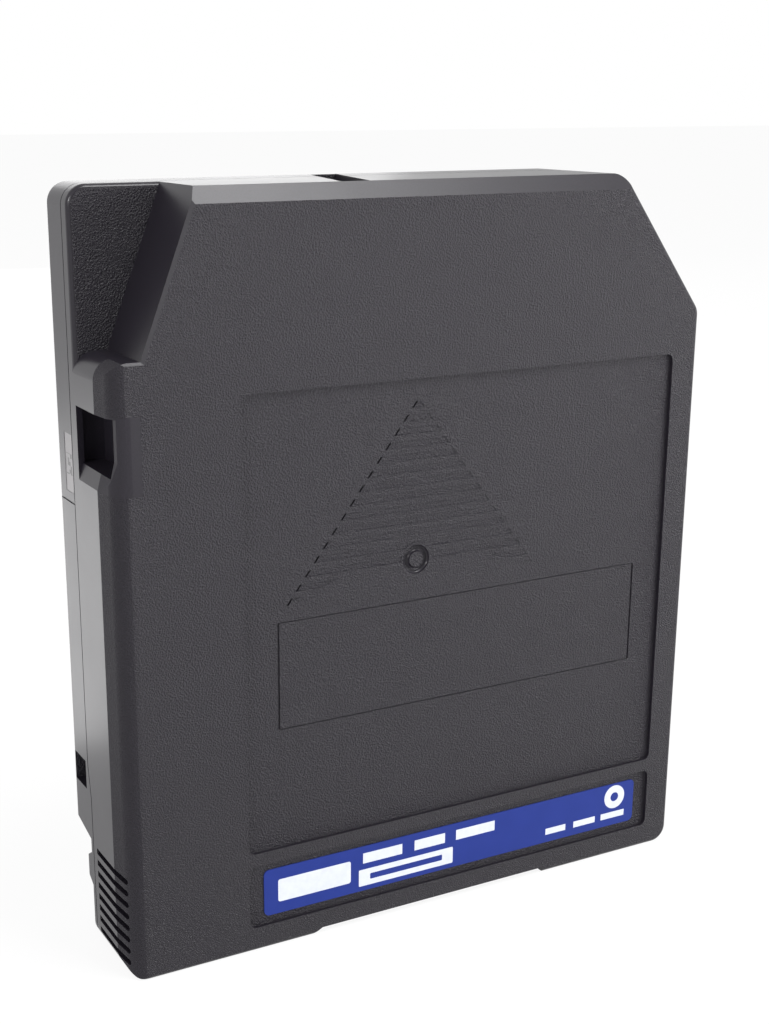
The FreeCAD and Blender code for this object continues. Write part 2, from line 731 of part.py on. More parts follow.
def datum_places():
    return [(REEL_X + side * DATUM_SPAN / 2, DATUM_HEIGHT) for side in (-1, 1)]


def opening_depths():
    return TAPE_Y - OPENING_DEPTH / 2, TAPE_Y + OPENING_DEPTH / 2


def door_rails():
    """Short rails on both covers that keep the door against the side wall, clear of the leader pin."""
    clear = SOCKET_RADIUS + SOCKET_WALL + SLIDER_GAP
    x1 = DOOR_INNER - DOOR_GAP
    rails = []
    for y0, y1 in ((FRONT_INNER, FRONT_INNER + RAIL_HEIGHT), (BACK_INNER - RAIL_HEIGHT, BACK_INNER)):
        for z0, z1 in ((RAIL_BOTTOM, PIN_Z - clear), (PIN_Z + clear, DOOR_TOP)):
            rails.append(block(x1 - RAIL_THICKNESS, x1, y0, y1, z0, z1))
    return rails


def pin_socket(y0, y1, floor0, floor1):
    """Cup open towards the door that parks one end of the leader pin."""
    ring = tube(PIN_X, PIN_Z, SOCKET_RADIUS, SOCKET_RADIUS + SOCKET_WALL, y0, y1)
    pad = rod(PIN_X, PIN_Z, SOCKET_RADIUS + SOCKET_WALL / 2, floor0, floor1)
    return ring.cut(mouth_wedge(y0, y1)).fuse(pad)


def mouth_wedge(y0, y1):
    """Wedge towards +X that opens a round seat over the mouth angle."""
    reach = 4 * SOCKET_RADIUS
    half = math.radians(SOCKET_MOUTH / 2)
    wide = reach * math.sin(half)
    far = reach * math.cos(half)
    corners = [(PIN_X, PIN_Z, 0), (PIN_X + far, PIN_Z - wide, 0), (PIN_X + far, PIN_Z + wide, 0)]
    return slab(corners, y0 - BEYOND, y1 + BEYOND)


def pin_sockets():
    front_end = TAPE_Y - PIN_HALF
    back_end = TAPE_Y + PIN_HALF
    front_floor = front_end - SOCKET_END_GAP
    back_floor = back_end + SOCKET_END_GAP
    return [
        pin_socket(FRONT_INNER, front_floor + SOCKET_DEPTH, FRONT_INNER, front_floor),
        pin_socket(back_floor - SOCKET_DEPTH, BACK_INNER, back_floor, BACK_INNER),
    ]


def slider_centre():
    return RIGHT - SLIDER_INSET, FRONT + SLIDER_DEPTH


def slider_keeper():
    x, y = slider_centre()
    reach = SLIDER_KNOB_LENGTH / 2 + SLIDER_FLANGE_MARGIN
    z0 = SIDE_WALL + SLIDER_LIFT + SLIDER_FLANGE + SLIDER_LIFT
    return block(x - reach, x + reach + SLIDER_TRAVEL, FRONT_INNER, y, z0, z0 + KEEPER_THICKNESS)


def memory_frame(shape):
    """Places a shape drawn upright about the origin in the leaning seat of the cartridge memory."""
    shape.rotate(Vector(0, 0, 0), Vector(0, 1, 0), -45)
    shape.translate(Vector(LEFT + MEMORY_INSET_X, 0, MEMORY_INSET_Z))
    return shape


def memory_seat():
    y0 = FRONT_INNER
    y1 = y0 + MEMORY_FLOOR + MEMORY_SEAT
    half_x = MEMORY_THICKNESS / 2 + MEMORY_CLEARANCE
    half_z = MEMORY_LENGTH / 2 + MEMORY_CLEARANCE
    wall = MEMORY_SEAT_WALL
    seat = block(-half_x - wall, half_x + wall, y0, y1, -half_z - wall, half_z + wall)
    seat = seat.cut(block(-half_x, half_x, y0 + MEMORY_FLOOR, y1 + BEYOND, -half_z, half_z))
    return memory_frame(seat)


def kept_inside():
    """Everything that stands in the hollow of the case as part of its covers."""
    spring_outer = SPRING_RADIUS + SPRING_WIRE_RADIUS + LEG_GAP
    post = GUIDE_POST_SIDE / 2
    kept = [
        slab(notch_outline(NOTCH_WALL), FRONT, FRONT + NOTCH_FLOOR_DEPTH + NOTCH_WALL),
        latch_hollow(POCKET_WALL),
        side_pocket(POCKET_WALL),
        block(
            LEFT, LEFT + CUTAWAY_WIDTH + POCKET_WALL, PARTING_LOWER, BACK,
            0, CUTAWAY_HEIGHT + CUTAWAY_LEFT + POCKET_WALL),
        leading_slot(POCKET_WALL),
        tube(
            REEL_X, REEL_Z, STOP_RING_RADIUS, STOP_RING_RADIUS + STOP_RING_WALL,
            FRONT_INNER, UPPER_FACE_Y - STOP_RING_GAP),
        tube(
            REEL_X, REEL_Z, HUB_OPENING_RADIUS + COLLAR_STEP, HUB_OPENING_RADIUS + COLLAR_WIDTH,
            COLLAR_Y, BACK_INNER),
        block(REEL_X - post, REEL_X + post, FRONT_INNER, POST_END_Y, REEL_Z - post, REEL_Z + post),
        tube(
            REEL_X, REEL_Z, spring_outer, spring_outer + SPRING_SEAT_WALL,
            FRONT_INNER, FRONT_INNER + SPRING_SEAT_HEIGHT),
        block(
            DOOR_X - DOOR_SPRING_RADIUS - DOOR_SPRING_WIRE - SLIDER_GAP, RIGHT,
            TAPE_Y - SEAT_WIDTH / 2, TAPE_Y + SEAT_WIDTH / 2, SEAT_TOP - SEAT_HEIGHT, SEAT_TOP),
        slider_keeper(),
        memory_seat(),
    ]
    kept += [rod(x, z, POST_RADIUS, FRONT_INNER, BACK_INNER) for x, z in screw_places()]
    datum_end = BACK - DATUM_DEPTH - POCKET_WALL
    kept += [rod(x, z, DATUM_RADIUS + POCKET_WALL, datum_end, BACK_INNER) for x, z in datum_places()]
    return kept + door_rails() + pin_sockets()


def openings_through():
    """Holes cut through or into the finished covers."""
    x, y = slider_centre()
    y0, y1 = opening_depths()
    half = SLIDER_KNOB_LENGTH / 2 + SLIDER_GAP
    wide = SLIDER_KNOB_WIDTH / 2 + SLIDER_GAP
    head = BACK - SCREW_SINK - SCREW_HEAD_HEIGHT
    cuts = [
        rod(REEL_X, REEL_Z, HUB_OPENING_RADIUS, COLLAR_Y - BEYOND, BACK + BEYOND),
        block(RIGHT_INNER - BEYOND, RIGHT + BEYOND, y0, y1, OPENING_BOTTOM, OPENING_TOP),
        block(x - half, x + half + SLIDER_TRAVEL, y - wide, y + wide, -BEYOND, SIDE_WALL + BEYOND / 2),
    ]
    for sx, sz in screw_places():
        cuts.append(rod(sx, sz, SCREW_HEAD_RADIUS + SCREW_CLEARANCE, head, BACK + BEYOND))
        cuts.append(rod(sx, sz, SCREW_SHANK_RADIUS, head - SCREW_LENGTH, head))
        cuts.append(rod(sx, sz, SCREW_SHANK_RADIUS + SCREW_CLEARANCE, PARTING_LOWER, head))
    for dx, dz in datum_places():
        cuts.append(rod(dx, dz, DATUM_RADIUS, BACK - DATUM_DEPTH, BACK + BEYOND))
    return cuts


def covers():
    """The hollow case, split along its parting face into the front and back covers."""
    hollow = slab(case_outline(SIDE_WALL), FRONT_INNER, BACK_INNER).cut(kept_inside())
    cuts = [latch_pocket(), side_pocket(0), cutaway(), leading_slot(0), foot_recess()]
    cuts += grip_slots() + front_panels() + front_frame() + arrow_bars() + [dimple(), parting_groove()]
    cuts += side_marks() + openings_through()
    case = notched_block().cut([hollow]).cut(cuts)
    tool = front_half()
    return case.common(tool), case.cut(tool)


# ---------------------------------------------------------------- labels and screws
def front_label():
    floor = FRONT + PANEL_DEPTH
    return plate(
        LEFT + PANEL_LEFT + LABEL_SIDE_MARGIN, RIGHT - PANEL_RIGHT - LABEL_SIDE_MARGIN,
        floor - LABEL_THICKNESS, floor,
        STRIP_BOTTOM + LABEL_EDGE_MARGIN, STRIP_TOP - LABEL_EDGE_MARGIN, LABEL_RADIUS)


def side_label():
    y0, y1, z0, z1 = mark_area()
    x1 = LEFT + MARK_RECESS
    return block(x1 - MARK_THICKNESS, x1, y0, y1, z0, z1)


def case_screws():
    """Four pan-head screws with a cross recess, driven in from the back."""
    head = BACK - SCREW_SINK - SCREW_HEAD_HEIGHT
    top = head + SCREW_HEAD_HEIGHT
    arm = SCREW_HEAD_RADIUS * 0.65
    screws = []
    for x, z in screw_places():
        shank = rod(x, z, SCREW_SHANK_RADIUS, head - SCREW_LENGTH, head)
        screw = rod(x, z, SCREW_HEAD_RADIUS, head, top).fuse(shank)
        half = SCREW_SHANK_RADIUS / 4
        cross = [
            block(x - arm, x + arm, top - SCREW_HEAD_HEIGHT / 2, top + BEYOND, z - half, z + half),
            block(x - half, x + half, top - SCREW_HEAD_HEIGHT / 2, top + BEYOND, z - arm, z + arm),
        ]
        screws.append(screw.cut(cross))
    return Part.makeCompound(screws)


# ---------------------------------------------------------------- reel
def face_tooth(inner, outer, root_y, height, count):
    """One straight-flanked face tooth on the +X side of the reel's axis, its root at root_y."""
    pitch = 2 * math.pi * (inner + outer) / 2 / count
    root = pitch * TOOTH_ROOT_SHARE / 2
    tip = pitch * TOOTH_TIP_SHARE / 2
    tip_y = root_y + height
    loop = [Vector(REEL_X + inner, y, REEL_Z + z) for y, z in (
        (root_y, -root), (root_y, root), (tip_y, tip), (tip_y, -tip), (root_y, -root))]
    return Part.Face(Part.makePolygon(loop)).extrude(Vector(outer - inner, 0, 0))


def leg_blocks(gap, y0, y1):
    """The three legs of the release plate, or the holes for them when grown by a gap."""
    leg = block(
        REEL_X + PLATE_REACH - PLATE_LEG_DEPTH - gap, REEL_X + PLATE_REACH + gap, y0, y1,
        REEL_Z - PLATE_LEG_WIDTH / 2 - gap, REEL_Z + PLATE_LEG_WIDTH / 2 + gap)
    return around_reel(leg, PLATE_LEGS)


def reel_hub():
    """Hub, lower flange and web in one moulding, with drive teeth behind and brake teeth in the cup."""
    solids = [
        tube(REEL_X, REEL_Z, HUB_INNER, HUB_RADIUS, UPPER_FLANGE_Y, WEB_BACK),
        rod(REEL_X, REEL_Z, HUB_INNER, WEB_FRONT, WEB_BACK),
        tube(REEL_X, REEL_Z, HUB_INNER, FLANGE_RADIUS, LOWER_FLANGE_Y, WEB_BACK),
    ]
    root = MESH_GAP / 2
    drive = face_tooth(
        DRIVE_TEETH_INNER, DRIVE_TEETH_OUTER, WEB_BACK - root, DRIVE_TOOTH_HEIGHT + root, DRIVE_TEETH)
    solids += around_reel(drive, DRIVE_TEETH)
    brake = face_tooth(
        BRAKE_TEETH_INNER, BRAKE_TEETH_OUTER, WEB_FRONT + root, -BRAKE_TOOTH_HEIGHT - root, BRAKE_TEETH)
    solids += around_reel(brake, BRAKE_TEETH)
    hub = fused(solids)
    return hub.cut(leg_blocks(LEG_GAP, WEB_FRONT - BEYOND, WEB_BACK + DRIVE_TOOTH_HEIGHT + BEYOND))


def upper_flange():
    return tube(REEL_X, REEL_Z, HUB_INNER, FLANGE_RADIUS, UPPER_FACE_Y, UPPER_FLANGE_Y)


def reel_gear_plate():
    return tube(
        REEL_X, REEL_Z, GEAR_PLATE_INNER, GEAR_PLATE_OUTER, WEB_BACK, WEB_BACK + GEAR_PLATE_THICKNESS)


def tape_pack():
    return tube(
        REEL_X, REEL_Z, HUB_RADIUS, PACK_RADIUS, TAPE_Y - TAPE_WIDTH / 2, TAPE_Y + TAPE_WIDTH / 2)


# ---------------------------------------------------------------- brake
def brake_button():
    """Toothed brake disc whose square-bored tube slides on the front cover's guide post."""
    bore = GUIDE_POST_SIDE / 2 + GUIDE_POST_GAP
    solids = [
        rod(REEL_X, REEL_Z, BRAKE_TEETH_OUTER, BUTTON_FRONT, BUTTON_BACK),
        tube(REEL_X, REEL_Z, BRAKE_TEETH_INNER - MESH_GAP, BRAKE_TEETH_OUTER, BUTTON_FRONT, BRAKE_ROOT_Y),
        rod(REEL_X, REEL_Z, BUTTON_TUBE_RADIUS, BUTTON_TUBE_Y, BUTTON_BACK),
    ]
    tooth = face_tooth(
        BRAKE_TEETH_INNER, BRAKE_TEETH_OUTER - MESH_GAP, BRAKE_ROOT_Y - MESH_GAP / 2,
        BRAKE_TOOTH_HEIGHT + MESH_GAP / 2, BRAKE_TEETH)
    solids += around_reel(tooth, BRAKE_TEETH, 180.0 / BRAKE_TEETH)
    button = fused(solids)
    return button.cut(block(
        REEL_X - bore, REEL_X + bore, BUTTON_TUBE_Y - BEYOND, BORE_END_Y, REEL_Z - bore, REEL_Z + bore))


def brake_spring():
    return coil(
        REEL_X, FRONT_INNER, REEL_Z, Vector(0, 1, 0), BUTTON_FRONT - FRONT_INNER,
        SPRING_RADIUS, SPRING_WIRE_RADIUS, SPRING_TURNS)


def release_plate():
    """Three-armed plate in the hub cup; its legs pass the web and end among the drive teeth."""
    arm = block(
        REEL_X, REEL_X + PLATE_REACH, PLATE_FRONT, PLATE_BACK,
        REEL_Z - PLATE_ARM_WIDTH / 2, REEL_Z + PLATE_ARM_WIDTH / 2)
    leg_end = WEB_BACK + DRIVE_TOOTH_HEIGHT - LEG_RECESS
    solids = [rod(REEL_X, REEL_Z, PLATE_HUB_RADIUS, PLATE_FRONT, PLATE_BACK)]
    solids += around_reel(arm, PLATE_LEGS) + leg_blocks(0, PLATE_FRONT, leg_end)
    return fused(solids)


# ---------------------------------------------------------------- tape door
def cartridge_door():
    """Sliding plate inside the side wall, with the lip that the drive pushes and a spigot for its spring."""
    y0, y1 = opening_depths()
    door = block(
        DOOR_INNER, DOOR_OUTER, FRONT_INNER + DOOR_FACE_GAP, BACK_INNER - DOOR_FACE_GAP,
        DOOR_BOTTOM, DOOR_TOP)
    lip_top = OPENING_TOP - LIP_GAP
    lip = block(
        DOOR_OUTER - DOOR_THICKNESS / 2, DOOR_OUTER + LIP_REACH, y0 + LIP_GAP, y1 - LIP_GAP,
        lip_top - LIP_HEIGHT, lip_top)
    spigot = Part.makeCylinder(
        SPIGOT_RADIUS, SPIGOT_LENGTH + DOOR_OVERLAP / 2, Vector(DOOR_X, TAPE_Y, DOOR_BOTTOM - SPIGOT_LENGTH))
    return fused([door, lip, spigot])


def door_spring():
    return coil(
        DOOR_X, TAPE_Y, SEAT_TOP, Vector(0, 0, 1), DOOR_SPRING_LENGTH,
        DOOR_SPRING_RADIUS, DOOR_SPRING_WIRE, DOOR_SPRING_TURNS)


# ---------------------------------------------------------------- leader pin and tape run
def leader_pin():
    y0 = TAPE_Y - PIN_HALF
    y1 = TAPE_Y + PIN_HALF
    return fused([
        rod(PIN_X, PIN_Z, PIN_RADIUS, y0, y1),
        rod(PIN_X, PIN_Z, PIN_FLANGE_RADIUS, y0, y0 + PIN_FLANGE_LENGTH),
        rod(PIN_X, PIN_Z, PIN_FLANGE_RADIUS, y1 - PIN_FLANGE_LENGTH, y1),
    ])


def leader_direction():
    """Unit vector from the leader pin along the tape, tangent just outside the pack, and its free length."""
    dx = REEL_X - PIN_X
    dz = REEL_Z - PIN_Z
    radius = PACK_RADIUS + LEADER_GAP
    distance = math.hypot(dx, dz)
    angle = math.atan2(dz, dx) - math.asin(radius / distance)
    return Vector(math.cos(angle), 0, math.sin(angle)), math.sqrt(distance ** 2 - radius ** 2)


def along_leader(start, end, thickness, y0, y1):
    """Flat bar along the tape run, its thickness centred on the line from the pin's axis."""
    run = leader_direction()[0]
    side = Vector(-run.z, 0, run.x) * (thickness / 2)
    origin = Vector(PIN_X, 0, PIN_Z)
    corners = [origin + run * start - side, origin + run * start + side,
               origin + run * end + side, origin + run * end - side]
    return slab([(c.x, c.z, 0) for c in corners], y0, y1)


def leader_pin_clamp():
    half = TAPE_WIDTH / 2
    y0 = TAPE_Y - half
    y1 = TAPE_Y + half
    ring = tube(PIN_X, PIN_Z, PIN_RADIUS, CLAMP_RADIUS, y0, y1)
    return ring.cut(along_leader(0, 2 * CLAMP_RADIUS, CLAMP_SLOT, y0 - BEYOND, y1 + BEYOND))


def tape_leader():
    length = leader_direction()[1]
    half = TAPE_WIDTH / 2
    run = along_leader(0, length, LEADER_THICKNESS, TAPE_Y - half, TAPE_Y + half)
    return run.cut(rod(PIN_X, PIN_Z, PIN_RADIUS, TAPE_Y - PIN_HALF, TAPE_Y + PIN_HALF))


def leader_pin_spring(y0):
    ring = tube(PIN_X, PIN_Z, PIN_FLANGE_RADIUS, SOCKET_RADIUS, y0, y0 + PIN_SPRING_LENGTH)
    return ring.cut(mouth_wedge(y0, y0 + PIN_SPRING_LENGTH))


# ---------------------------------------------------------------- write-protect slider
def write_protect_slider():
    """Ridged knob in its window and the flange that slides between the wall and its keeper."""
    x, y = slider_centre()
    half = SLIDER_KNOB_LENGTH / 2
    wide = SLIDER_KNOB_WIDTH / 2
    z0 = SIDE_WALL + SLIDER_LIFT
    knob = block(x - half, x + half, y - wide, y + wide, SLIDER_RECESS, z0 + SLIDER_FLANGE)
    flange = block(
        x - half - SLIDER_FLANGE_MARGIN, x + half + SLIDER_FLANGE_MARGIN,
        y - wide - SLIDER_FLANGE_SIDE, y + wide + SLIDER_FLANGE_SIDE, z0, z0 + SLIDER_FLANGE)
    slider = fused([knob, flange])
    pitch = SLIDER_KNOB_LENGTH / (SLIDER_RIDGES + 1)
    grooves = []
    for i in range(SLIDER_RIDGES):
        gx = x - half + pitch * (i + 1)
        grooves.append(block(
            gx - SLIDER_GAP, gx + SLIDER_GAP, y - wide - BEYOND, y + wide + BEYOND,
            SLIDER_RECESS - BEYOND, SLIDER_RECESS + SLIDER_GAP))
    return slider.cut(grooves)


# ---------------------------------------------------------------- cartridge memory
def memory_board():
    y0 = FRONT_INNER + MEMORY_FLOOR
    half = MEMORY_THICKNESS / 2
    board = block(-half, half, y0, y0 + MEMORY_WIDTH, -MEMORY_LENGTH / 2, MEMORY_LENGTH / 2)
    return memory_frame(board)


def memory_chip():
    y = FRONT_INNER + MEMORY_FLOOR + MEMORY_SEAT + (MEMORY_WIDTH - MEMORY_SEAT) / 2
    x0 = MEMORY_THICKNESS / 2
    half = CHIP_SIDE / 2
    return memory_frame(block(x0, x0 + CHIP_THICKNESS, y - half, y + half, -half, half))


# ---------------------------------------------------------------- pieces
front_cover, back_cover = covers()
pieces = {
    "front_cover": front_cover,
    "back_cover": back_cover,
    "front_label": front_label(),
    "side_label": side_label(),
    "case_screws": case_screws(),
    "reel_hub": reel_hub(),
    "upper_flange": upper_flange(),
    "reel_gear_plate": reel_gear_plate(),
    "tape_pack": tape_pack(),
    "brake_button": brake_button(),
    "brake_spring": brake_spring(),
    "release_plate": release_plate(),
    "cartridge_door": cartridge_door(),
    "door_spring": door_spring(),
    "leader_pin": leader_pin(),
    "leader_pin_clamp": leader_pin_clamp(),
    "leader_pin_spring_front": leader_pin_spring(TAPE_Y - PIN_HALF),
    "leader_pin_spring_back": leader_pin_spring(TAPE_Y + PIN_HALF - PIN_SPRING_LENGTH),
    "tape_leader": tape_leader(),
    "write_protect_slider": write_protect_slider(),
    "memory_board": memory_board(),
    "memory_chip": memory_chip(),
}

os.makedirs("parts", exist_ok=True)
for name, shape in pieces.items():
    shape.exportStep(f"parts/{name}.step")
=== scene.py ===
import bmesh
import bpy
import json
import math
from mathutils import Matrix, Vector


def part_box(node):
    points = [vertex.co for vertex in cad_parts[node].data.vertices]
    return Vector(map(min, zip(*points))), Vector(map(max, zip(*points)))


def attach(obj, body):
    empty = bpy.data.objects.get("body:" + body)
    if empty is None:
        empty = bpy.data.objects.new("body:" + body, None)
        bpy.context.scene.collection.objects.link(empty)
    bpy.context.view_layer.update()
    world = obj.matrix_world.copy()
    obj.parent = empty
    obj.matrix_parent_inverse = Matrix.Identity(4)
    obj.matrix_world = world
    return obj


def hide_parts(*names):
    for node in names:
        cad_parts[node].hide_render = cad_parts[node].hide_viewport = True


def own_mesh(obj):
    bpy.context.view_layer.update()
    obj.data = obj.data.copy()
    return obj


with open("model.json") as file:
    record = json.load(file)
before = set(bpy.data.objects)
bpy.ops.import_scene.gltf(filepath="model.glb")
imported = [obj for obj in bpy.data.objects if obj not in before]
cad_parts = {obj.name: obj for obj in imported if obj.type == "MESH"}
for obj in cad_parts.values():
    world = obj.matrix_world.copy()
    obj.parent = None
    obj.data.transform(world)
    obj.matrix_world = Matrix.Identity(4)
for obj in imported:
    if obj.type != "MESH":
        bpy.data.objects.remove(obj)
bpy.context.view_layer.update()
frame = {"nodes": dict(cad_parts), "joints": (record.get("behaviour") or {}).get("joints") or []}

# ---------------------------------------------------------------- covers
# Two moulded halves of black polycarbonate, screwed together along the parting line.
# The mould is spark-eroded on the broad faces and the soft left edge, which come out with a leathery
# grain that breaks up the light. It is polished on the narrow sides, which come out satin and plain.
GRAIN = 0.00027
FINE_GRAIN = 0.00013
GRAIN_DEPTH = 0.0002
HANDLING_PATCH = 0.0222
BROAD_FACE_FROM = 0.88
BROAD_FACE_FULL = 0.96
SOFT_EDGE_X = -0.0500
SOFT_EDGE_Y = -0.0061
SOFT_EDGE_TURN = -0.25
SOFT_EDGE_ROUGHNESS = 0.75
POCKET_X = -0.0496
POCKET_FOOT = 0.0805
POCKET_HEAD = 0.0925


def colour(hex_value):
    """sRGB hex to the linear colour that a shader takes."""
    parts = [int(hex_value[i:i + 2], 16) / 255 for i in (1, 3, 5)]
    return [p / 12.92 if p <= 0.04045 else ((p + 0.055) / 1.055) ** 2.4 for p in parts] + [1.0]


def add_node(tree, kind, settings=None, inputs=None):
    """Adds a node, sets its options, and fills or links its inputs by name or number.

    The kind is a node's full type, or a shader node's type without its first word."""
    made = tree.nodes.new(kind if "Node" in kind else "ShaderNode" + kind)
    for key, value in (settings or {}).items():
        setattr(made, key, value)
    for key, value in (inputs or {}).items():
        if isinstance(value, bpy.types.NodeSocket):
            tree.links.new(value, made.inputs[key])
        else:
            made.inputs[key].default_value = value
    return made


def new_finish(name, inputs):
    """Starts a material and returns it with its node tree and its shader."""
    material = bpy.data.materials.new(name)
    material.use_nodes = True
    tree = material.node_tree
    shader = tree.nodes["Principled BSDF"]
    for key, value in inputs.items():
        shader.inputs[key].default_value = value
    return material, tree, shader


def dress(material, *names):
    """Gives CAD nodes their finish."""
    for name in names:
        mesh = frame["nodes"][name].data
        mesh.materials.clear()
        mesh.materials.append(material)


case_plastic, tree, shader = new_finish("grained_polycarbonate", {
    "IOR": 1.5, "Specular IOR Level": 0.32})

# Where the grain lies: on the broad faces and the soft left edge, and not in the latch pocket.
place = add_node(tree, "TexCoord")
facing = add_node(tree, "SeparateXYZ", inputs={0: place.outputs["Normal"]})
spot = add_node(tree, "SeparateXYZ", inputs={0: place.outputs["Object"]})
broad = add_node(tree, "Math", {"operation": "ABSOLUTE"}, {0: facing.outputs["Y"]})
broad = add_node(tree, "MapRange", {"interpolation_type": "SMOOTHSTEP"}, {
    "Value": broad.outputs[0], "From Min": BROAD_FACE_FROM, "From Max": BROAD_FACE_FULL})
left = add_node(tree, "Math", {"operation": "LESS_THAN"}, {0: spot.outputs["X"], 1: SOFT_EDGE_X})
front = add_node(tree, "Math", {"operation": "LESS_THAN"}, {0: spot.outputs["Y"], 1: SOFT_EDGE_Y})
outward = add_node(tree, "Math", {"operation": "LESS_THAN"}, {0: facing.outputs["X"], 1: SOFT_EDGE_TURN})
soft = add_node(tree, "Math", {"operation": "MULTIPLY"}, {0: left.outputs[0], 1: front.outputs[0]})
soft = add_node(tree, "Math", {"operation": "MULTIPLY"}, {0: soft.outputs[0], 1: outward.outputs[0]})
grained = add_node(tree, "Math", {"operation": "MAXIMUM"}, {0: broad.outputs["Result"], 1: soft.outputs[0]})
beside = add_node(tree, "Math", {"operation": "LESS_THAN"}, {0: spot.outputs["X"], 1: POCKET_X})
over = add_node(tree, "Math", {"operation": "GREATER_THAN"}, {0: spot.outputs["Z"], 1: POCKET_FOOT})
under = add_node(tree, "Math", {"operation": "LESS_THAN"}, {0: spot.outputs["Z"], 1: POCKET_HEAD})
pocket = add_node(tree, "Math", {"operation": "MULTIPLY"}, {0: over.outputs[0], 1: under.outputs[0]})
pocket = add_node(tree, "Math", {"operation": "MULTIPLY"}, {0: pocket.outputs[0], 1: beside.outputs[0]})
grained = add_node(tree, "Math", {"operation": "SUBTRACT", "use_clamp": True}, {
    0: grained.outputs[0], 1: pocket.outputs[0]})

# Rounded pebbles with a finer grit over them, a little coarser than the real grain so that they show.
pebbles = add_node(tree, "TexVoronoi", {"feature": "SMOOTH_F1"}, {
    "Vector": place.outputs["Object"], "Scale": 1 / GRAIN, "Smoothness": 0.6})
grit = add_node(tree, "TexNoise", inputs={
    "Vector": place.outputs["Object"], "Scale": 1 / FINE_GRAIN, "Detail": 2.0, "Roughness": 0.6})
height = add_node(tree, "Math", {"operation": "MULTIPLY_ADD"}, {
    0: grit.outputs["Fac"], 1: 0.7, 2: pebbles.outputs["Distance"]})
relief = add_node(tree, "Math", {"operation": "MULTIPLY"}, {0: height.outputs[0], 1: grained.outputs[0]})
bump = add_node(tree, "Bump", inputs={
    "Height": relief.outputs[0], "Strength": 1.0, "Distance": GRAIN_DEPTH})
tree.links.new(bump.outputs["Normal"], shader.inputs["Normal"])

# Handling leaves broad patches a little shinier than the rest.
handling = add_node(tree, "TexNoise", inputs={
    "Vector": place.outputs["Object"], "Scale": 1 / HANDLING_PATCH, "Detail": 4.0, "Roughness": 0.65})
grain_gloss = add_node(tree, "MapRange", inputs={
    "Value": handling.outputs["Fac"], "To Min": 0.30, "To Max": 0.40})
side_gloss = add_node(tree, "MapRange", inputs={
    "Value": handling.outputs["Fac"], "To Min": 0.26, "To Max": 0.36})
gloss = add_node(tree, "Mix", inputs={
    "Factor": grained.outputs[0], "A": side_gloss.outputs["Result"], "B": grain_gloss.outputs["Result"]})
gloss = add_node(tree, "Mix", inputs={
    "Factor": soft.outputs[0], "A": gloss.outputs["Result"], "B": SOFT_EDGE_ROUGHNESS})
tree.links.new(gloss.outputs["Result"], shader.inputs["Roughness"])
# Painted light and shade: the grain is coloured lighter where it stands high and darker in its hollows, on
# one black plastic.
grain_shade_tone = add_node(tree, "Mix", {"data_type": "RGBA"}, {
    "Factor": height.outputs[0], 6: colour("#131116"), 7: colour("#1f1c23")})
tree.links.new(grain_shade_tone.outputs[2], shader.inputs["Base Color"])
dress(case_plastic, "front_cover", "back_cover")

# ---------------------------------------------------------------- front label
# Printed polyester film laid in the sunk strip along the foot of the front face.
# Blue ink lies under a clear satin layer, which gives the eye an even, slightly soft gloss.
PRINT_LIFT = 0.00003
INK_MOTTLE = 0.00385
label_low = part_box("front_label")[0]
label_ink, tree, shader = new_finish("blue_printed_film", {
    "IOR": 1.45, "Specular IOR Level": 0.3})
place = add_node(tree, "TexCoord")
ink = add_node(tree, "TexNoise", inputs={
    "Vector": place.outputs["Object"], "Scale": 1 / INK_MOTTLE, "Detail": 3.0})
ink_tone = add_node(tree, "Mix", {"data_type": "RGBA"}, {
    "Factor": ink.outputs["Fac"], 6: colour("#0f2671"), 7: colour("#152b7b")})
tree.links.new(ink_tone.outputs[2], shader.inputs["Base Color"])
film_gloss = add_node(tree, "MapRange", inputs={
    "Value": ink.outputs["Fac"], "To Min": 0.34, "To Max": 0.46})
tree.links.new(film_gloss.outputs["Result"], shader.inputs["Roughness"])
dress(label_ink, "front_label")

# Screen-printed white ink, which dries faintly uneven and lies just proud of the film.
WHITE_MOTTLE = 0.00111
print_white, tree, shader = new_finish("white_ink", {
    "IOR": 1.45, "Specular IOR Level": 0.3, "Roughness": 0.4})
place = add_node(tree, "TexCoord")
mottle = add_node(tree, "TexNoise", inputs={
    "Vector": place.outputs["Object"], "Scale": 1 / WHITE_MOTTLE, "Detail": 2.0})
paper = add_node(tree, "Mix", {"data_type": "RGBA"}, {
    "Factor": mottle.outputs["Fac"], 6: colour("#bcc0cc"), 7: colour("#ccd0da")})
tree.links.new(paper.outputs[2], shader.inputs["Base Color"])

# Blank white fields, each as left, right, foot, head and corner radius from the label's lower left corner.
FIELD = (0.0026, 0.0164, 0.0021, 0.0062, 0.0004)
FRAME = (0.0180, 0.0370, 0.0009, 0.0040, 0.0002)
FRAME_WINDOW = (0.0202, 0.0348, 0.0019, 0.0030, 0.0002)
RING = (0.0703, 0.0749, 0.0034, 0.0080, 0.0023)
RING_HOLE = (0.0717, 0.0735, 0.0048, 0.0066, 0.0009)
CORNER_STEPS = 6
RING_STEPS = 12
RING_HOLE_STEPS = 10


def rounded_outline(x0, x1, z0, z1, radius, steps):
    """Points of a rounded rectangle, with its corners in so many steps."""
    points = []
    for cx, cz, turn in ((x1 - radius, z0 + radius, -90), (x1 - radius, z1 - radius, 0),
                         (x0 + radius, z1 - radius, 90), (x0 + radius, z0 + radius, 180)):
        for i in range(steps + 1):
            a = math.radians(turn + 90 * i / steps)
            points.append((cx + radius * math.cos(a), cz + radius * math.sin(a)))
    return points


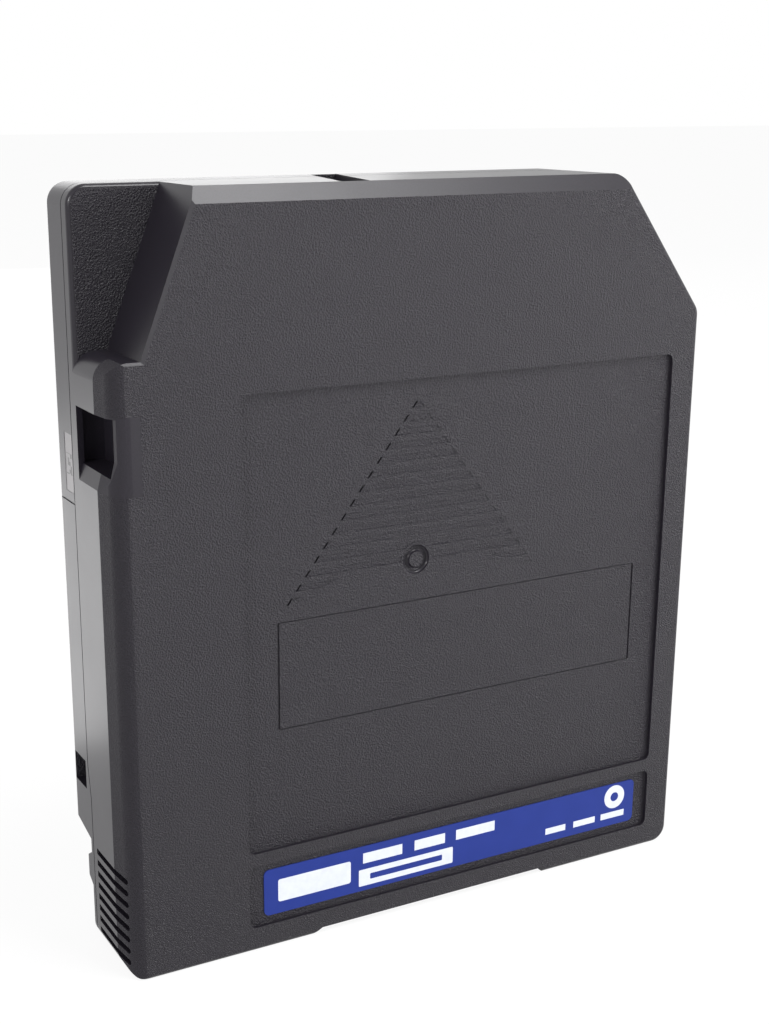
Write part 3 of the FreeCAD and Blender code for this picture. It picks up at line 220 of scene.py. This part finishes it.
outlines = [rounded_outline(*shape, CORNER_STEPS) for shape in (FIELD, FRAME, FRAME_WINDOW)]
outlines += [rounded_outline(*RING, RING_STEPS), rounded_outline(*RING_HOLE, RING_HOLE_STEPS)]
artwork = bpy.data.curves.new("label_print", "CURVE")
artwork.dimensions = "2D"
artwork.fill_mode = "BOTH"
artwork.extrude = PRINT_LIFT / 2
for outline in outlines:
    spline = artwork.splines.new("POLY")
    spline.points.add(len(outline) - 1)
    for point, (x, z) in zip(spline.points, outline):
        point.co = (x, z, 0, 1)
    spline.use_cyclic_u = True
drawn = bpy.data.objects.new("label_print_curve", artwork)
bpy.context.scene.collection.objects.link(drawn)
bpy.context.view_layer.update()
mesh = bpy.data.meshes.new_from_object(drawn.evaluated_get(bpy.context.evaluated_depsgraph_get()))
bpy.data.objects.remove(drawn)
face = Vector((label_low.x, label_low.y - PRINT_LIFT / 2, label_low.z))
mesh.transform(Matrix.Translation(face) @ Matrix.Rotation(math.pi / 2, 4, "X"))
mesh.materials.clear()
mesh.materials.append(print_white)
label_print = bpy.data.objects.new("label_print", mesh)
bpy.context.scene.collection.objects.link(label_print)
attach(label_print, "case")

# Blank word bars: short strokes of white ink in rows, where a user's wording would go.
SHORTEST_WORD = 0.62
LONGEST_WORD = 0.9
bars = bpy.data.node_groups.new("word_bars", "GeometryNodeTree")
bars.is_modifier = True
bars.interface.new_socket("Geometry", in_out="INPUT", socket_type="NodeSocketGeometry")
bar_inputs = {}
for name, kind in (("Start", "Vector"), ("Pitch", "Float"), ("Height", "Float"),
                   ("Words", "Int"), ("Seed", "Int"), ("Ink", "Material")):
    socket = bars.interface.new_socket(name, in_out="INPUT", socket_type="NodeSocket" + kind)
    bar_inputs[name] = socket.identifier
bars.interface.new_socket("Geometry", in_out="OUTPUT", socket_type="NodeSocketGeometry")

given = add_node(bars, "NodeGroupInput")
step = add_node(bars, "CombineXYZ", inputs={"X": given.outputs["Pitch"]})
row = add_node(bars, "GeometryNodeMeshLine", inputs={
    "Count": given.outputs["Words"], "Start Location": given.outputs["Start"], "Offset": step.outputs[0]})
share = add_node(bars, "FunctionNodeRandomValue", {"data_type": "FLOAT"}, {
    2: SHORTEST_WORD, 3: LONGEST_WORD, "Seed": given.outputs["Seed"]})
reach = add_node(bars, "Math", {"operation": "MULTIPLY"}, {
    0: share.outputs[1], 1: given.outputs["Pitch"]})
size = add_node(bars, "CombineXYZ", inputs={
    "X": reach.outputs[0], "Y": PRINT_LIFT, "Z": given.outputs["Height"]})
stroke = add_node(bars, "GeometryNodeMeshCube")
laid = add_node(bars, "GeometryNodeInstanceOnPoints", inputs={
    "Points": row.outputs["Mesh"], "Instance": stroke.outputs["Mesh"], "Scale": size.outputs[0]})
real = add_node(bars, "GeometryNodeRealizeInstances", inputs={"Geometry": laid.outputs["Instances"]})
inked = add_node(bars, "GeometryNodeSetMaterial", inputs={
    "Geometry": real.outputs["Geometry"], "Material": given.outputs["Ink"]})
add_node(bars, "NodeGroupOutput", inputs={0: inked.outputs[0]})

for name, x, z, pitch, bar_height, words, seed in (
        ("title_bars", 0.0227, 0.0061, 0.0095, 0.0019, 3, 4),
        ("order_bars", 0.0593, 0.0021, 0.0065, 0.0012, 3, 2)):
    piece = bpy.data.objects.new(name, bpy.data.meshes.new(name))
    bpy.context.scene.collection.objects.link(piece)
    modifier = piece.modifiers.new(name, "NODES")
    modifier.node_group = bars
    modifier[bar_inputs["Start"]] = tuple(face + Vector((x, 0, z)))
    modifier[bar_inputs["Pitch"]] = pitch
    modifier[bar_inputs["Height"]] = bar_height
    modifier[bar_inputs["Words"]] = words
    modifier[bar_inputs["Seed"]] = seed
    modifier[bar_inputs["Ink"]] = print_white
    piece.update_tag()
    bpy.context.view_layer.update()
    mesh = bpy.data.meshes.new_from_object(piece.evaluated_get(bpy.context.evaluated_depsgraph_get()))
    piece.modifiers.clear()
    piece.data = mesh
    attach(piece, "case")

# ---------------------------------------------------------------- side mark
# Small grey foil patch on the left side, printed with a coarse block code at random.
# It sits in a shallow recess, so only its printed face shows, in a dull grey.
CODE_CELL = 0.00062
CODE_SIDE_MARGIN = 0.0004
CODE_FOOT_MARGIN = 0.0028
CODE_HEAD_MARGIN = 0.0032
mark_low, mark_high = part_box("side_label")
mark_foil, tree, shader = new_finish("grey_code_foil", {"IOR": 1.5, "Roughness": 0.42})
place = add_node(tree, "TexCoord")
cells = add_node(tree, "VectorMath", {"operation": "SCALE"}, {
    0: place.outputs["Object"], "Scale": 1 / CODE_CELL})
cells = add_node(tree, "VectorMath", {"operation": "FLOOR"}, {0: cells.outputs["Vector"]})
cells = add_node(tree, "VectorMath", {"operation": "MULTIPLY"}, {0: cells.outputs["Vector"], 1: (0, 1, 1)})
chance = add_node(tree, "TexWhiteNoise", {"noise_dimensions": "3D"}, {"Vector": cells.outputs["Vector"]})
dark = add_node(tree, "Math", {"operation": "GREATER_THAN"}, {0: chance.outputs["Value"], 1: 0.5})
spot = add_node(tree, "SeparateXYZ", inputs={0: place.outputs["Object"]})
field = dark
for axis, low, high in (
        ("Y", mark_low.y + CODE_SIDE_MARGIN, mark_high.y - CODE_SIDE_MARGIN),
        ("Z", mark_low.z + CODE_FOOT_MARGIN, mark_high.z - CODE_HEAD_MARGIN)):
    above = add_node(tree, "Math", {"operation": "GREATER_THAN"}, {0: spot.outputs[axis], 1: low})
    under = add_node(tree, "Math", {"operation": "LESS_THAN"}, {0: spot.outputs[axis], 1: high})
    both = add_node(tree, "Math", {"operation": "MULTIPLY"}, {0: above.outputs[0], 1: under.outputs[0]})
    field = add_node(tree, "Math", {"operation": "MULTIPLY"}, {0: field.outputs[0], 1: both.outputs[0]})
foil_tone = add_node(tree, "Mix", {"data_type": "RGBA"}, {
    "Factor": field.outputs[0], 6: colour("#6f6c6e"), 7: colour("#353336")})
tree.links.new(foil_tone.outputs[2], shader.inputs["Base Color"])
dress(mark_foil, "side_label")

# ---------------------------------------------------------------- screws and springs
# Plated self-tapping screws, and springs wound from drawn steel wire.
# Fine drawing lines run through the plating, which has dulled a little.
DRAW_LINE = 0.000111
LINE_STRETCH = 0.06
WELD = 1e-7
steel, tree, shader = new_finish("plated_steel", {"Metallic": 1.0})
place = add_node(tree, "TexCoord")
stretch = add_node(tree, "Mapping", inputs={
    "Vector": place.outputs["Object"], "Scale": (1, LINE_STRETCH, 1)})
lines = add_node(tree, "TexNoise", inputs={
    "Vector": stretch.outputs[0], "Scale": 1 / DRAW_LINE, "Detail": 2.0})
sheen = add_node(tree, "MapRange", inputs={"Value": lines.outputs["Fac"], "To Min": 0.24, "To Max": 0.42})
tree.links.new(sheen.outputs["Result"], shader.inputs["Roughness"])
steel_tone = add_node(tree, "Mix", {"data_type": "RGBA"}, {
    "Factor": lines.outputs["Fac"], 6: colour("#a9abae"), 7: colour("#c4c6c8")})
tree.links.new(steel_tone.outputs[2], shader.inputs["Base Color"])
dress(steel, "case_screws", "brake_spring", "door_spring")
dress(steel, "leader_pin_spring_front", "leader_pin_spring_back")

# Each coil spring is copied as one welded mesh, hung on the case, and its CAD node is hidden.
joints = {joint["name"]: joint for joint in frame["joints"]}
for node, joint, along in (("door_spring", "door_slide", Vector((0, 0, 1))),
                           ("brake_spring", "brake_lift", Vector((0, 1, 0)))):
    low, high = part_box(node)
    mesh = frame["nodes"][node].data.copy()
    wound = bmesh.new()
    wound.from_mesh(mesh)
    bmesh.ops.remove_doubles(wound, verts=wound.verts, dist=WELD)
    wound.to_mesh(mesh)
    wound.free()
    coil = bpy.data.objects.new(node + "_coil", mesh)
    bpy.context.scene.collection.objects.link(coil)
    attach(coil, "case")
    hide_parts(node)
    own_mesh(coil)

# ---------------------------------------------------------------- reel
# Hub moulded in grey glass-filled polycarbonate, with a clear tinted upper flange welded on.
# Moulding leaves a faint flow mottle and a satin surface.
HUB_FLOW = 0.00625
FLANGE_SWIRL = 0.0167
hub_plastic, tree, shader = new_finish("glass_filled_hub_plastic", {"IOR": 1.55})
place = add_node(tree, "TexCoord")
flow = add_node(tree, "TexNoise", inputs={
    "Vector": place.outputs["Object"], "Scale": 1 / HUB_FLOW, "Detail": 5.0, "Distortion": 1.2})
hub_tone = add_node(tree, "Mix", {"data_type": "RGBA"}, {
    "Factor": flow.outputs["Fac"], 6: colour("#5c5c60"), 7: colour("#707074")})
tree.links.new(hub_tone.outputs[2], shader.inputs["Base Color"])
satin = add_node(tree, "MapRange", inputs={"Value": flow.outputs["Fac"], "To Min": 0.38, "To Max": 0.52})
tree.links.new(satin.outputs["Result"], shader.inputs["Roughness"])
dress(hub_plastic, "reel_hub")

# Clear polycarbonate with a slight haze, so the tape shows through it darkly.
flange_clear, tree, shader = new_finish("tinted_clear_flange", {
    "IOR": 1.58, "Transmission Weight": 0.85, "Base Color": colour("#c9ced6")})
place = add_node(tree, "TexCoord")
swirl = add_node(tree, "TexNoise", inputs={
    "Vector": place.outputs["Object"], "Scale": 1 / FLANGE_SWIRL, "Detail": 3.0})
haze = add_node(tree, "MapRange", inputs={"Value": swirl.outputs["Fac"], "To Min": 0.08, "To Max": 0.2})
tree.links.new(haze.outputs["Result"], shader.inputs["Roughness"])
dress(flange_clear, "upper_flange")

# ---------------------------------------------------------------- gear plate
# Stamped stainless disc moulded into the hub, which the drive's magnet pulls on.
# It is turned smooth, so its marks run in rings round the reel axis, drawn coarse enough to show.
RING_PITCH = 0.0003
WAVE_TURNS = 20
reel_axis = Vector(joints["reel_spin"]["pos_m"])
plate_steel, tree, shader = new_finish("stamped_stainless", {"Metallic": 1.0})
place = add_node(tree, "TexCoord")
centred = add_node(tree, "Mapping", inputs={
    "Vector": place.outputs["Object"], "Location": tuple(-reel_axis)})
rings = add_node(tree, "TexWave", {"wave_type": "RINGS", "rings_direction": "Y"}, {
    "Vector": centred.outputs[0], "Scale": 1 / (RING_PITCH * WAVE_TURNS), "Distortion": 1.0, "Detail": 2.0})
turned = add_node(tree, "MapRange", inputs={"Value": rings.outputs["Fac"], "To Min": 0.22, "To Max": 0.4})
tree.links.new(turned.outputs["Result"], shader.inputs["Roughness"])
plate_tone = add_node(tree, "Mix", {"data_type": "RGBA"}, {
    "Factor": rings.outputs["Fac"], 6: colour("#a3a5a8"), 7: colour("#bdbfc2")})
tree.links.new(plate_tone.outputs[2], shader.inputs["Base Color"])
dress(plate_steel, "reel_gear_plate")

# ---------------------------------------------------------------- tape
# Half-inch coated film wound flat on the hub, and its free end held by the leader pin.
# The pack's edge shows as fine dark rings, drawn coarser than one layer so that they show.
tape_film, tree, shader = new_finish("wound_tape_film", {"IOR": 1.6})
place = add_node(tree, "TexCoord")
centred = add_node(tree, "Mapping", inputs={
    "Vector": place.outputs["Object"], "Location": tuple(-reel_axis)})
layers = add_node(tree, "TexWave", {"wave_type": "RINGS", "rings_direction": "Y"}, {
    "Vector": centred.outputs[0], "Scale": 1 / (RING_PITCH * WAVE_TURNS),
    "Distortion": 0.6, "Detail": 3.0, "Detail Scale": 2.0})
tape_tone = add_node(tree, "Mix", {"data_type": "RGBA"}, {
    "Factor": layers.outputs["Fac"], 6: colour("#241d1a"), 7: colour("#3a302b")})
tree.links.new(tape_tone.outputs[2], shader.inputs["Base Color"])
tape_gloss = add_node(tree, "MapRange", inputs={
    "Value": layers.outputs["Fac"], "To Min": 0.2, "To Max": 0.34})
tree.links.new(tape_gloss.outputs["Result"], shader.inputs["Roughness"])
dress(tape_film, "tape_pack", "tape_leader")

# ---------------------------------------------------------------- brake and release
# Brake disc and release plate in natural acetal, which slides without grease.
# Acetal is milky and waxy, with a little light let into its surface.
ACETAL_CLOUD = 0.00333
acetal, tree, shader = new_finish("natural_acetal", {
    "IOR": 1.48, "Subsurface Weight": 0.15, "Subsurface Radius": (0.002, 0.0016, 0.0012)})
place = add_node(tree, "TexCoord")
milk = add_node(tree, "TexNoise", inputs={
    "Vector": place.outputs["Object"], "Scale": 1 / ACETAL_CLOUD, "Detail": 3.0})
acetal_tone = add_node(tree, "Mix", {"data_type": "RGBA"}, {
    "Factor": milk.outputs["Fac"], 6: colour("#dcdad2"), 7: colour("#ebe9e2")})
tree.links.new(acetal_tone.outputs[2], shader.inputs["Base Color"])
waxy = add_node(tree, "MapRange", inputs={"Value": milk.outputs["Fac"], "To Min": 0.32, "To Max": 0.44})
tree.links.new(waxy.outputs["Result"], shader.inputs["Roughness"])
dress(acetal, "brake_button", "release_plate")

# ---------------------------------------------------------------- door and write-protect slider
# Tape door and slider knob moulded in dark blue acetal, to stand out from the black case.
# The mould is lightly grained, which gives a satin finish with a fine even mottle.
BLUE_FLECK = 0.000625
BLUE_FLECK_DEPTH = 0.00003
blue_plastic, tree, shader = new_finish("dark_blue_acetal", {"IOR": 1.5})
place = add_node(tree, "TexCoord")
fleck = add_node(tree, "TexNoise", inputs={
    "Vector": place.outputs["Object"], "Scale": 1 / BLUE_FLECK, "Detail": 3.0})
blue_tone = add_node(tree, "Mix", {"data_type": "RGBA"}, {
    "Factor": fleck.outputs["Fac"], 6: colour("#1f2d6a"), 7: colour("#293a80")})
tree.links.new(blue_tone.outputs[2], shader.inputs["Base Color"])
satin = add_node(tree, "MapRange", inputs={"Value": fleck.outputs["Fac"], "To Min": 0.34, "To Max": 0.5})
tree.links.new(satin.outputs["Result"], shader.inputs["Roughness"])
grain = add_node(tree, "Bump", inputs={
    "Height": fleck.outputs["Fac"], "Strength": 0.5, "Distance": BLUE_FLECK_DEPTH})
tree.links.new(grain.outputs["Normal"], shader.inputs["Normal"])
dress(blue_plastic, "cartridge_door", "write_protect_slider")

# ---------------------------------------------------------------- leader pin
# Turned and polished steel pin that the drive hooks to pull the tape out.
# Turning marks run round it, under a bright polish.
PIN_MARK = 0.000143
PIN_STRETCH = 0.05
pin_steel, tree, shader = new_finish("polished_pin_steel", {"Metallic": 1.0})
place = add_node(tree, "TexCoord")
squeeze = add_node(tree, "Mapping", inputs={
    "Vector": place.outputs["Object"], "Scale": (PIN_STRETCH, 1, PIN_STRETCH)})
turning = add_node(tree, "TexNoise", inputs={
    "Vector": squeeze.outputs[0], "Scale": 1 / PIN_MARK, "Detail": 1.0})
polish = add_node(tree, "MapRange", inputs={"Value": turning.outputs["Fac"], "To Min": 0.1, "To Max": 0.22})
tree.links.new(polish.outputs["Result"], shader.inputs["Roughness"])
pin_tone = add_node(tree, "Mix", {"data_type": "RGBA"}, {
    "Factor": turning.outputs["Fac"], 6: colour("#c3c5c8"), 7: colour("#d6d8da")})
tree.links.new(pin_tone.outputs[2], shader.inputs["Base Color"])
dress(pin_steel, "leader_pin")

# A black acetal clamp snaps over the pin and grips the end of the tape, satin as it leaves the mould.
# The memory chip's moulded body has the same black satin look.
CLAMP_FLECK = 0.000417
clamp_plastic, tree, shader = new_finish("black_acetal", {"IOR": 1.48})
place = add_node(tree, "TexCoord")
fleck = add_node(tree, "TexNoise", inputs={
    "Vector": place.outputs["Object"], "Scale": 1 / CLAMP_FLECK, "Detail": 2.0})
clamp_tone = add_node(tree, "Mix", {"data_type": "RGBA"}, {
    "Factor": fleck.outputs["Fac"], 6: colour("#1c1c1e"), 7: colour("#2a2a2d")})
tree.links.new(clamp_tone.outputs[2], shader.inputs["Base Color"])
satin = add_node(tree, "MapRange", inputs={"Value": fleck.outputs["Fac"], "To Min": 0.35, "To Max": 0.5})
tree.links.new(satin.outputs["Result"], shader.inputs["Roughness"])
dress(clamp_plastic, "leader_pin_clamp", "memory_chip")

# ---------------------------------------------------------------- cartridge memory
# Glass-epoxy board with a printed aerial loop and one moulded chip, caught between the covers.
# Green solder resist lies over the copper turns, which show through as paler bands.
TURN_PITCH = 0.0009
LOOP_WIDTH = 0.0031
board_low, board_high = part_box("memory_board")
board, tree, shader = new_finish("green_circuit_board", {
    "IOR": 1.5, "Coat Weight": 0.4, "Coat Roughness": 0.15})
place = add_node(tree, "TexCoord")
middle = (board_low + board_high) / 2
centred = add_node(tree, "VectorMath", {"operation": "SUBTRACT"}, {
    0: place.outputs["Object"], 1: tuple(middle)})
folded = add_node(tree, "VectorMath", {"operation": "ABSOLUTE"}, {0: centred.outputs["Vector"]})
side = add_node(tree, "SeparateXYZ", inputs={0: folded.outputs["Vector"]})
half = (board_high - board_low) / 2
from_end = add_node(tree, "Math", {"operation": "SUBTRACT"}, {0: half.x, 1: side.outputs["X"]})
from_side = add_node(tree, "Math", {"operation": "SUBTRACT"}, {0: half.y, 1: side.outputs["Y"]})
edge = add_node(tree, "Math", {"operation": "MINIMUM"}, {0: from_end.outputs[0], 1: from_side.outputs[0]})
turns = add_node(tree, "Math", {"operation": "MULTIPLY"}, {0: edge.outputs[0], 1: 1 / TURN_PITCH})
phase = add_node(tree, "Math", {"operation": "FRACT"}, {0: turns.outputs[0]})
copper = add_node(tree, "Math", {"operation": "GREATER_THAN"}, {0: phase.outputs[0], 1: 0.5})
loop = add_node(tree, "Math", {"operation": "LESS_THAN"}, {0: edge.outputs[0], 1: LOOP_WIDTH})
copper = add_node(tree, "Math", {"operation": "MULTIPLY"}, {0: copper.outputs[0], 1: loop.outputs[0]})
board_tone = add_node(tree, "Mix", {"data_type": "RGBA"}, {
    "Factor": copper.outputs[0], 6: colour("#1d5a34"), 7: colour("#3d8a4c")})
tree.links.new(board_tone.outputs[2], shader.inputs["Base Color"])
resist = add_node(tree, "MapRange", inputs={"Value": copper.outputs[0], "To Min": 0.4, "To Max": 0.3})
tree.links.new(resist.outputs["Result"], shader.inputs["Roughness"])
dress(board, "memory_board")

# ---------------------------------------------------------------- table, light and camera
# White table under soft studio light: panels at the back, left, right and overhead, and two lying
# face up on the table, which show as sheen on the upright faces. White is shown to the camera and
# in reflections, and the table keeps the cartridge's soft shadow.
TABLE_HALF = 6.0
WHITE = "#ffffff"
TABLE_GLOW = 0.9
ROOM_LIGHT = 0.6
floor_mesh = bpy.data.meshes.new("table_top")
floor_mesh.from_pydata([
    (-TABLE_HALF, -TABLE_HALF, 0), (TABLE_HALF, -TABLE_HALF, 0),
    (TABLE_HALF, TABLE_HALF, 0), (-TABLE_HALF, TABLE_HALF, 0)], [], [(0, 1, 2, 3)])
floor = bpy.data.objects.new("table_top", floor_mesh)
bpy.context.scene.collection.objects.link(floor)


def seen_directly(tree):
    """1 where a ray comes from the camera, a reflection or through clear plastic, and 0 for other light."""
    ray = add_node(tree, "LightPath")
    seen = add_node(tree, "Math", {"operation": "MAXIMUM"}, {
        0: ray.outputs["Is Camera Ray"], 1: ray.outputs["Is Glossy Ray"]})
    seen = add_node(tree, "Math", {"operation": "MAXIMUM"}, {
        0: seen.outputs[0], 1: ray.outputs["Is Transmission Ray"]})
    return seen.outputs[0]


white_table, tree, shader = new_finish("white_table", {"Base Color": colour(WHITE), "Roughness": 0.9})
share = add_node(tree, "Math", {"operation": "MULTIPLY"}, {0: seen_directly(tree), 1: TABLE_GLOW})
glow = add_node(tree, "Emission", inputs={"Color": colour(WHITE), "Strength": 1.0})
blend = add_node(tree, "MixShader", inputs={0: share.outputs[0], 1: shader.outputs[0], 2: glow.outputs[0]})
tree.links.new(blend.outputs[0], tree.nodes["Material Output"].inputs["Surface"])
floor_mesh.materials.append(white_table)

world = bpy.data.worlds.new("studio")
bpy.context.scene.world = world
world.use_nodes = True
tree = world.node_tree
level = add_node(tree, "MapRange", inputs={
    "Value": seen_directly(tree), "To Min": ROOM_LIGHT, "To Max": 1.0})
tree.links.new(level.outputs["Result"], tree.nodes["Background"].inputs["Strength"])
tree.nodes["Background"].inputs["Color"].default_value = colour(WHITE)

# Each panel: its place, the point it faces, its side in metres and its power in watts.
for name, spot, aim, side, power in (
        ("table_panel", (-0.15, 0.24, 0.002), (-0.15, 0.24, 1.0), 0.32, 0.5),
        ("front_table_panel", (0.42, -0.48, 0.002), (0.42, -0.48, 1.0), 0.36, 9.0),
        ("back_panel", (0.25, 1.0, 0.30), (0.0, 0.0, 0.10), 0.6, 1.6),
        ("left_panel", (-0.74, -0.31, 0.40), (-0.05, 0.0, 0.10), 0.14, 3.0),
        ("front_right_panel", (0.98, -0.66, 0.22), (0.03, 0.0, 0.07), 0.5, 10.0),
        ("overhead_panel", (0.26, -0.36, 0.88), (0.0, 0.0, 0.10), 0.35, 6.0)):
    lamp = bpy.data.lights.new(name, "AREA")
    lamp.size = side
    lamp.energy = power
    panel = bpy.data.objects.new(name, lamp)
    panel.location = spot
    panel.rotation_euler = (Vector(aim) - Vector(spot)).to_track_quat("-Z", "Y").to_euler()
    panel.visible_camera = False
    bpy.context.scene.collection.objects.link(panel)

# The camera stands close in at the front left, a little above the case, and is tipped down towards it.
CAMERA_PLACE = (-0.12856, -0.22038, 0.13697)
CAMERA_TURN = -0.4860
CAMERA_TIP = -0.2831
CAMERA_ROLL = -0.0016
lens = bpy.data.cameras.new("camera")
lens.lens = 54.22
lens.sensor_width = 36.0
lens.shift_x = 0.0545
lens.shift_y = 0.0343
lens.clip_start = 0.01
camera = bpy.data.objects.new("camera", lens)
camera.matrix_world = (
    Matrix.Translation(CAMERA_PLACE)
    @ Matrix.Rotation(CAMERA_TURN, 4, "Z")
    @ Matrix.Rotation(math.pi / 2 + CAMERA_TIP, 4, "X")
    @ Matrix.Rotation(CAMERA_ROLL, 4, "Z"))
bpy.context.scene.collection.objects.link(camera)
bpy.context.scene.camera = camera
bpy.context.scene.view_settings.view_transform = "Standard"
